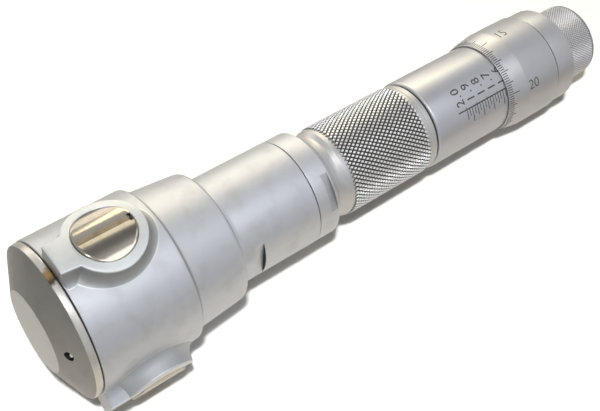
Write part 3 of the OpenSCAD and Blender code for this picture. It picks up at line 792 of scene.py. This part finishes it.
# Handle: a steel tube, screwed into the neck, with a coved waist, a diamond-knurled grip and a plain
# groove. The sleeve is pushed on its rear end.
TUBE_X = 44.4
TUBE_R = 8.6
TUBE_BORE = 6.6
NUT_X = 83.9
NUT_R = 5.2
GRIP_X = 64.3
GRIP_R = 10.35
GRIP_END = 87.7
SLEEVE_X = 88.9
WAIST_R = 9.4
KNURL_DEPTH = 0.42
BARREL_R = 8.75
BARREL_END = 112.2
handle_metal = plated_metal(
    "handle_metal", (0.64, 0.63, 0.61), (0.5, 0.485, 0.46),
    roughness=0.45, lines=1.0, grain=0.4, blotch=0.3, scratch=0.3)
knurl_metal = plated_metal(
    "knurled_metal", (0.82, 0.82, 0.82), (0.7, 0.69, 0.67),
    roughness=0.4, lines=0.2, grain=0.4, blotch=0.2, scratch=0.2, metallic=0.74)
# Painted shade: darker in the valleys between the grip's diamonds, below the knurl's top radius.
add_painted_shade(knurl_metal, valley_shading, {"Unshaded radius": GRIP_R - 0.02, "Fade": 0.24}, (0.085, 0.08, 0.068), 0.94)
handle = turned_piece("handle_tube", handle_metal, 160, [
    (TUBE_X, TUBE_BORE, 0), (TUBE_X, TUBE_R, 0), (WAIST_X, TUBE_R, 0), (WAIST_X, WAIST_R + 0.3, 0.2),
    (WAIST_X + 1.2, WAIST_R, 0.8), (WAIST_X + 2.0, WAIST_R, 0.5), (GRIP_X - 0.4, GRIP_R - 0.35, 0.4),
    (GRIP_X + 0.5, GRIP_R - 0.3, 0.1), (GRIP_X + 0.6, GRIP_R - KNURL_DEPTH, 0),
    (GRIP_END - 0.5, GRIP_R - KNURL_DEPTH, 0), (GRIP_END - 0.4, GRIP_R - 0.3, 0.1),
    (GRIP_END + 0.1, GRIP_R - 0.3, 0.1), (SLEEVE_X - 0.35, GRIP_R - 0.3, 0.1),
    (SLEEVE_X - 0.3, BARREL_R, 0), (BARREL_END, BARREL_R, 0.2), (BARREL_END, NUT_R, 0),
    (NUT_X, NUT_R, 0), (NUT_X, TUBE_BORE, 0)])
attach(handle, "frame")
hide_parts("handle")


SOCKET_KINDS = {
    int: "NodeSocketInt", float: "NodeSocketFloat", tuple: "NodeSocketVector",
    type(None): "NodeSocketMaterial"}


def geometry_group(name, inputs):
    # A geometry tree with named inputs, each of the kind that its first value has.
    tree = bpy.data.node_groups.new(name, "GeometryNodeTree")
    tree.interface.new_socket("Geometry", in_out="INPUT", socket_type="NodeSocketGeometry")
    for label, value in inputs.items():
        made = tree.interface.new_socket(label, in_out="INPUT", socket_type=SOCKET_KINDS[type(value)])
        if value is not None:
            made.default_value = value
    tree.interface.new_socket("Geometry", in_out="OUTPUT", socket_type="NodeSocketGeometry")
    return tree, tree.nodes.new("NodeGroupInput"), tree.nodes.new("NodeGroupOutput")


def combine(tree, x, y, z):
    return feed(tree, tree.nodes.new("ShaderNodeCombineXYZ"), (x, y, z))


# Diamonds on a staggered grid round the axis, each a blunt four-sided point.
knurling, knurl_in, knurl_out = geometry_group("diamond_knurl", {
    "Around": 64, "Rows": 30, "Start": 0.0, "Row step": 0.7, "Radius": 10.0, "Depth": 0.3, "Blunt": 0.2,
    "Finish": None})
given = knurl_in.outputs
reckon = partial(math_node, knurling)
wire = knurling.links.new
points = knurling.nodes.new("GeometryNodeMeshLine")
wire(reckon("MULTIPLY", given["Around"], given["Rows"]), points.inputs["Count"])
index = knurling.nodes.new("GeometryNodeInputIndex").outputs[0]
row = reckon("FLOOR", reckon("DIVIDE", index, given["Around"]))
column = reckon("MODULO", index, given["Around"])
stagger = reckon("MULTIPLY", reckon("MODULO", row, 2.0), 0.5)
share = reckon("DIVIDE", reckon("ADD", column, stagger), given["Around"])
swing = reckon("MULTIPLY", share, 2 * math.pi)
seat_r = reckon("SUBTRACT", given["Radius"], given["Depth"])
run = reckon("ADD", given["Start"], reckon("MULTIPLY", row, given["Row step"]))
side = reckon("MULTIPLY", seat_r, reckon("SINE", swing))
up = reckon("MULTIPLY", seat_r, reckon("COSINE", swing))
seat = knurling.nodes.new("GeometryNodeSetPosition")
wire(points.outputs["Mesh"], seat.inputs["Geometry"])
wire(combine(knurling, run, side, up), seat.inputs["Position"])
point = node_with(knurling, "GeometryNodeMeshCone", {"Vertices": 4, "Radius Bottom": 1.0, "Depth": 1.0})
wire(given["Blunt"], point.inputs["Radius Top"])
pitch_round = reckon("DIVIDE", reckon("MULTIPLY", given["Radius"], 2 * math.pi), given["Around"])
half_round = reckon("MULTIPLY", pitch_round, 0.5)
stamp = knurling.nodes.new("GeometryNodeInstanceOnPoints")
wire(seat.outputs[0], stamp.inputs["Points"])
wire(point.outputs["Mesh"], stamp.inputs["Instance"])
wire(combine(knurling, reckon("MULTIPLY", swing, -1.0), 0.0, 0.0), stamp.inputs["Rotation"])
wire(combine(knurling, given["Row step"], half_round, given["Depth"]), stamp.inputs["Scale"])
real = knurling.nodes.new("GeometryNodeRealizeInstances")
wire(stamp.outputs[0], real.inputs[0])
dress = knurling.nodes.new("GeometryNodeSetMaterial")
wire(real.outputs[0], dress.inputs["Geometry"])
wire(given["Finish"], dress.inputs["Material"])
wire(dress.outputs[0], knurl_out.inputs[0])


def socket_of(tree, label):
    sockets = [item for item in tree.interface.items_tree if item.item_type == "SOCKET"]
    return next(socket.identifier for socket in sockets if socket.name == label)


def grown(name, tree, values, start=None):
    # Runs a geometry tree in tool millimetres and keeps the result as a plain mesh in the frame.
    holder = bpy.data.objects.new(name, start or bpy.data.meshes.new(name))
    scene.collection.objects.link(holder)
    maker = holder.modifiers.new("maker", "NODES")
    maker.node_group = tree
    for label, value in values.items():
        maker[socket_of(tree, label)] = value
    made = settled(holder, maker)
    made.name = name
    made.transform(TOOL @ Matrix.Scale(MM, 4))
    holder.data = made
    return holder


KNURL_AROUND = 64
KNURL_ROW = 0.725
knurl_rows = int((GRIP_END - 0.5 - GRIP_X - 0.6) / KNURL_ROW) - 1
grip_knurl = grown("grip_knurl", knurling, {
    "Around": KNURL_AROUND, "Rows": knurl_rows, "Start": GRIP_X + 0.6 + KNURL_ROW, "Row step": KNURL_ROW,
    "Radius": GRIP_R, "Depth": KNURL_DEPTH, "Blunt": 0.48, "Finish": knurl_metal})
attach(grip_knurl, "frame")


# Sleeve: a thin steel tube, dull chrome plated, held by friction on the barrel.
# Its line and divisions are engraved and filled with black. Each division is one turn of the thimble,
# a fortieth of an inch of bore.
SLEEVE_R = 10.45
SLEEVE_END = 112.7
sleeve_plate = plated_metal(
    "sleeve_plate", (0.6, 0.597, 0.61), (0.5, 0.495, 0.49),
    roughness=0.4, lines=1.2, grain=0.3, blotch=0.2, scratch=0.2)
sleeve = turned_piece("sleeve_tube", sleeve_plate, 192, [
    (SLEEVE_X, BARREL_R + 0.05, 0), (SLEEVE_X, SLEEVE_R, 0.7), (SLEEVE_END, SLEEVE_R, 0.2),
    (SLEEVE_END, BARREL_R + 0.05, 0)])
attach(sleeve, "frame")
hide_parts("sleeve")

black_fill = bpy.data.materials.new("black_fill")
black_fill.use_nodes = True
fill_tree = black_fill.node_tree
fill_shader = fill_tree.nodes["Principled BSDF"]
fill_shader.inputs["Roughness"].default_value = 0.55
fill_noise = stretched_noise(fill_tree, tool_coordinates(fill_tree), (1.5, 1.5, 1.5), 3.0)
fill_mix = colour_mix(fill_tree, {"A": (0.012, 0.012, 0.014, 1.0), "B": (0.07, 0.068, 0.065, 1.0)})
fill_tree.links.new(fill_noise, fill_mix.inputs["Factor"])
fill_tree.links.new(fill_mix.outputs["Result"], fill_shader.inputs["Base Color"])

# Ticks in a row, of three lengths, laid flat with the numbers and then wrapped round a cone or cylinder.
marking, mark_in, mark_out = geometry_group("wrapped_marks", {
    "Count": 10, "First": (0.0, 0.0, 0.0), "Step": (1.0, 0.0, 0.0), "Turn": 0.0, "Width": 0.1, "Short": 1.0,
    "Middle": 2.0, "Long": 3.0, "Middle every": 5, "Long every": 25, "Long from": 0, "Wrap radius": 10.0,
    "Wrap from": 0.0, "Wrap slope": 0.0, "Wrap limit": 100.0, "Finish": None})
given = mark_in.outputs
reckon = partial(math_node, marking)
wire = marking.links.new
places = marking.nodes.new("GeometryNodeMeshLine")
wire(given["Count"], places.inputs["Count"])
wire(given["First"], places.inputs["Start Location"])
wire(given["Step"], places.inputs["Offset"])
tick = marking.nodes.new("GeometryNodeInputIndex").outputs[0]


def every(count, start):
    return reckon("LESS_THAN", reckon("MODULO", reckon("ADD", tick, start), count), 0.5)


def blend_length(low, high, choice):
    return reckon("ADD", low, reckon("MULTIPLY", reckon("SUBTRACT", high, low), choice))


is_middle = every(given["Middle every"], 0.0)
is_long = every(given["Long every"], given["Long from"])
reach = blend_length(given["Short"], given["Middle"], is_middle)
reach = blend_length(reach, given["Long"], is_long)
stroke = node_with(
    marking, "GeometryNodeMeshGrid", {"Size X": 1.0, "Size Y": 1.0, "Vertices X": 2, "Vertices Y": 9})
shift = node_with(marking, "GeometryNodeTransform", {"Translation": (0.0, 0.5, 0.0)})
wire(stroke.outputs["Mesh"], shift.inputs["Geometry"])
laid = marking.nodes.new("GeometryNodeInstanceOnPoints")
wire(places.outputs["Mesh"], laid.inputs["Points"])
wire(shift.outputs[0], laid.inputs["Instance"])
wire(combine(marking, 0.0, 0.0, given["Turn"]), laid.inputs["Rotation"])
wire(combine(marking, given["Width"], reach, 1.0), laid.inputs["Scale"])
flat = marking.nodes.new("GeometryNodeRealizeInstances")
wire(laid.outputs[0], flat.inputs[0])
both = marking.nodes.new("GeometryNodeJoinGeometry")
wire(flat.outputs[0], both.inputs[0])
wire(given["Geometry"], both.inputs[0])
parts = marking.nodes.new("ShaderNodeSeparateXYZ")
wire(marking.nodes.new("GeometryNodeInputPosition").outputs[0], parts.inputs[0])
past = reckon("SUBTRACT", parts.outputs[0], given["Wrap from"])
radius = reckon("ADD", given["Wrap radius"], reckon("MULTIPLY", past, given["Wrap slope"]))
radius = reckon("MINIMUM", radius, given["Wrap limit"])
bend = reckon("DIVIDE", parts.outputs[1], given["Wrap radius"])
lift = reckon("ADD", radius, parts.outputs[2])
side = reckon("MULTIPLY", lift, reckon("SINE", bend))
up = reckon("MULTIPLY", lift, reckon("COSINE", bend))
wrapped = marking.nodes.new("GeometryNodeSetPosition")
wire(both.outputs[0], wrapped.inputs["Geometry"])
wire(combine(marking, parts.outputs[0], side, up), wrapped.inputs["Position"])
real = marking.nodes.new("GeometryNodeRealizeInstances")
wire(wrapped.outputs[0], real.inputs[0])
dress = marking.nodes.new("GeometryNodeSetMaterial")
wire(real.outputs[0], dress.inputs["Geometry"])
wire(given["Finish"], dress.inputs["Material"])
wire(dress.outputs[0], mark_out.inputs[0])

FILL_DEPTH = 0.03


def flat_bar(bm, x0, x1, y0, y1, steps):
    # A thin bar in the flat, cut up along its length so that it can bend.
    one = [bm.verts.new((x0 + (x1 - x0) * i / steps, y0, 0)) for i in range(steps + 1)]
    two = [bm.verts.new((x0 + (x1 - x0) * i / steps, y1, 0)) for i in range(steps + 1)]
    for i in range(steps):
        bm.faces.new([one[i], one[i + 1], two[i + 1], two[i]])


def flat_number(bm, text, height, x, y, turn, spacing=1.0, weight=0.006):
    # A number of the scale in the flat, its middle at x and y.
    curve = bpy.data.curves.new("number", "FONT")
    curve.body = text
    curve.size = height / 0.7
    curve.align_x = "CENTER"
    curve.align_y = "CENTER"
    curve.resolution_u = 3
    curve.space_character = spacing
    curve.offset = height * weight
    writer = bpy.data.objects.new("number", curve)
    scene.collection.objects.link(writer)
    bpy.context.view_layer.update()
    made = bpy.data.meshes.new_from_object(writer.evaluated_get(bpy.context.evaluated_depsgraph_get()))
    made.transform(Matrix.Translation((x, y, 0)) @ Matrix.Rotation(turn, 4, "Z"))
    bm.from_mesh(made)
    bpy.data.objects.remove(writer)
    bpy.data.curves.remove(curve)
    bpy.data.meshes.remove(made)


def filled_marks(name, bm, values):
    # Wraps flat marks and gives the black filling its small thickness.
    bmesh.ops.subdivide_edges(bm, edges=[e for e in bm.edges if e.calc_length() > 0.5], cuts=2)
    bmesh.ops.triangulate(bm, faces=bm.faces)
    start = bpy.data.meshes.new(name)
    bm.to_mesh(start)
    bm.free()
    marks = grown(name, marking, values, start)
    bm = bmesh.new()
    bm.from_mesh(marks.data)
    bmesh.ops.remove_doubles(bm, verts=bm.verts, dist=1e-7)
    axis_point = TOOL.translation
    for face in bm.faces:
        face.normal_update()
        out = face.calc_center_median() - axis_point
        out -= along * out.dot(along)
        if face.normal.dot(out) < 0:
            face.normal_flip()
    bm.to_mesh(marks.data)
    bm.free()
    thick = marks.modifiers.new("filling", "SOLIDIFY")
    thick.thickness = FILL_DEPTH * MM
    thick.offset = -0.4
    marks.data = settled(marks, thick)
    return marks


BASE_ANGLE = math.radians(-45.9)
TURN_STEP = 0.79375
TWO_INCH_X = 98.0
LINE_HALF = 0.16
base_y = BASE_ANGLE * SLEEVE_R
bm = bmesh.new()
flat_bar(bm, TWO_INCH_X - 2.4, SLEEVE_END - 0.1, base_y - LINE_HALF, base_y + LINE_HALF, 24)
for tenth in range(5):
    x = TWO_INCH_X + 4 * TURN_STEP * tenth
    flat_number(
        bm, "%.1f" % (2.0 - 0.1 * tenth), height=2.15, x=x - 0.85, y=base_y + 3.3, turn=math.pi / 2,
        spacing=1.22)
    flat_bar(bm, x - 0.06, x + 0.06, base_y, base_y + 0.5, 2)
sleeve_marks = filled_marks("sleeve_marks", bm, {
    "Count": 18, "First": (TWO_INCH_X, base_y, 0.0), "Step": (TURN_STEP, 0.0, 0.0), "Turn": math.pi,
    "Width": 0.22, "Short": 1.8, "Middle": 2.45, "Long": 3.4, "Middle every": 4, "Long every": 4,
    "Long from": 2, "Wrap radius": SLEEVE_R, "Wrap from": TWO_INCH_X, "Wrap slope": 0.0,
    "Wrap limit": SLEEVE_R, "Finish": black_fill})
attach(sleeve_marks, "frame")


# Thimble: a plated steel cup clamped on the spindle's taper, with a bevelled front.
# A turn is divided in twenty-five parts of five; a step and a fine groove set off the plain rear band.
THIMBLE_R = 11.7
BEVEL_LEN = 5.4
THIMBLE_END = 132.2
BAND_X = 126.0
THIMBLE_BORE = 10.55
EDGE_R = 10.85
HUB_X = 127.2
RECESS_X = 130.4
RECESS_R = 6.05
TAPER_FRONT_R = 3.85
TAPER_REAR_R = 3.25
thimble_plate = plated_metal(
    "thimble_plate", (0.6, 0.592, 0.595), (0.49, 0.482, 0.475),
    roughness=0.42, lines=1.2, grain=0.3, blotch=0.25, scratch=0.2)
thimble = turned_piece("thimble_cup", thimble_plate, 192, [
    (THIMBLE_X, THIMBLE_BORE, 0.05), (THIMBLE_X, EDGE_R, 0.08), (THIMBLE_X + BEVEL_LEN, THIMBLE_R, 1.2),
    (BAND_X - 0.5, THIMBLE_R, 0.1), (BAND_X - 0.45, THIMBLE_R - 0.9, 0), (BAND_X, THIMBLE_R - 0.9, 0),
    (BAND_X + 0.05, THIMBLE_R - 0.4, 0.1), (THIMBLE_END - 0.9, THIMBLE_R - 0.4, 0.3),
    (THIMBLE_END, THIMBLE_R - 1.3, 0.2), (THIMBLE_END, RECESS_R, 0), (RECESS_X, RECESS_R, 0),
    (RECESS_X, TAPER_REAR_R, 0), (HUB_X, TAPER_FRONT_R, 0), (HUB_X, THIMBLE_BORE, 0.2)])
thimble.data.materials.append(black_fill)
for face, middle, facing in tool_faces(thimble):
    in_groove = BAND_X - 0.47 < middle.x < BAND_X + 0.04
    if in_groove and math.hypot(middle.y, middle.z) < THIMBLE_R - 0.44:
        face.material_index = 1
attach(thimble, "thimble")
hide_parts("thimble")

DIVISIONS = 125
READING = 19.3
bevel_slope = (THIMBLE_R - EDGE_R) / BEVEL_LEN
around = 2 * math.pi * EDGE_R
step_round = around / DIVISIONS
zero_y = BASE_ANGLE * EDGE_R + READING / 25 * around
bm = bmesh.new()
for mark in (0, 5, 10, 15, 20):
    y = zero_y - mark / 25 * around
    flat_number(
        bm, "%d" % mark, height=2.2, x=THIMBLE_X + BEVEL_LEN + 2.0, y=y, turn=0.0, weight=-0.01)
thimble_marks = filled_marks("thimble_marks", bm, {
    "Count": DIVISIONS, "First": (THIMBLE_X + 0.1, zero_y, 0.0), "Step": (0.0, -step_round, 0.0),
    "Turn": -math.pi / 2, "Width": 0.21, "Short": 1.3, "Middle": 2.0, "Long": 2.9, "Middle every": 5,
    "Long every": 25, "Long from": 0, "Wrap radius": EDGE_R, "Wrap from": THIMBLE_X,
    "Wrap slope": bevel_slope, "Wrap limit": THIMBLE_R, "Finish": black_fill})
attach(thimble_marks, "thimble")


# Ratchet knob: a plated steel knob, turned in one piece with a fine knurl round it.
# It slips on a sprung disc once the anvils bear on the bore, and is held by a screw.
KNOB_X = 132.6
KNOB_END = 141.8
KNOB_R = 8.8
KNOB_BORE = 6.8
WEB_X = 136.6
SCREW_R = 1.94
SCREW_HEAD_R = 3.7
SCREW_SEAT_X = KNOB_END - 2
FINE_DEPTH = 0.14
knob_metal = plated_metal(
    "knob_metal", (0.76, 0.745, 0.75), (0.62, 0.6, 0.6),
    roughness=0.42, lines=0.6, grain=0.3, blotch=0.3, scratch=0.2)
fine_knurl = plated_metal(
    "fine_knurl", (0.78, 0.765, 0.77), (0.66, 0.64, 0.64),
    roughness=0.42, lines=0.6, grain=0.3, blotch=0.3, scratch=0.2)
# Painted shade: darker in the valleys of the knob's fine knurl.
add_painted_shade(fine_knurl, valley_shading, {"Unshaded radius": KNOB_R - 0.01, "Fade": 0.13}, (0.3, 0.29, 0.29), 0.85)
knob = turned_piece("ratchet_knob_turned", knob_metal, 144, [
    (KNOB_X, KNOB_BORE, 0), (KNOB_X, KNOB_R - FINE_DEPTH, 0.4), (KNOB_END - 0.5, KNOB_R - FINE_DEPTH, 0.2),
    (KNOB_END, KNOB_R - 0.6, 0.2), (KNOB_END, SCREW_HEAD_R, 0.15), (SCREW_SEAT_X, SCREW_HEAD_R, 0),
    (SCREW_SEAT_X, SCREW_R, 0), (WEB_X, SCREW_R, 0), (WEB_X, KNOB_BORE, 0)])
knob.data.materials.append(fine_knurl)
for face, middle, facing in tool_faces(knob):
    under_knurl = KNOB_X + 0.4 < middle.x < KNOB_END - 0.7
    if under_knurl and math.hypot(middle.y, middle.z) > KNOB_R - FINE_DEPTH - 0.1:
        face.material_index = 1
FINE_AROUND = 84
FINE_ROW = 0.42
fine_rows = int((KNOB_END - 0.8 - KNOB_X - 0.4) / FINE_ROW) - 1
knob_knurl = grown("knob_knurl", knurling, {
    "Around": FINE_AROUND, "Rows": fine_rows, "Start": KNOB_X + 0.4 + FINE_ROW, "Row step": FINE_ROW,
    "Radius": KNOB_R, "Depth": FINE_DEPTH, "Blunt": 0.3, "Finish": fine_knurl})
for piece in (knob, knob_knurl):
    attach(piece, "ratchet")
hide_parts("ratchet_knob")


# Inner works, seen only when the tool is taken apart: ground steel, bronze and spring wire.
# They keep their CAD shapes and get the finish of their kind.
ground_steel = plated_metal(
    "ground_steel", (0.62, 0.62, 0.64), (0.5, 0.5, 0.5),
    roughness=0.25, lines=1.0, grain=0.2, blotch=0.2, scratch=0.2)
bearing_bronze = plated_metal(
    "bearing_bronze", (0.66, 0.5, 0.26), (0.42, 0.28, 0.13),
    roughness=0.35, lines=1.0, grain=0.4, blotch=0.6, scratch=0.3)
spring_wire = plated_metal(
    "spring_wire", (0.4, 0.4, 0.42), (0.26, 0.25, 0.24),
    roughness=0.35, lines=0.3, grain=0.6, blotch=0.4, scratch=0.3)
INNER = {
    ground_steel: ("measuring_cone", "thrust_ball", "spindle", "ratchet_disc"),
    bearing_bronze: ("thrust_nut", "guide_bush", "spindle_nut"),
    spring_wire: ("backlash_spring", "ratchet_spring", "anvil_keys", "ratchet_screw", "thimble_nut")}
for finish, names in INNER.items():
    for name in names:
        mesh = frame["nodes"][name].data
        mesh.materials.clear()
        mesh.materials.append(finish)
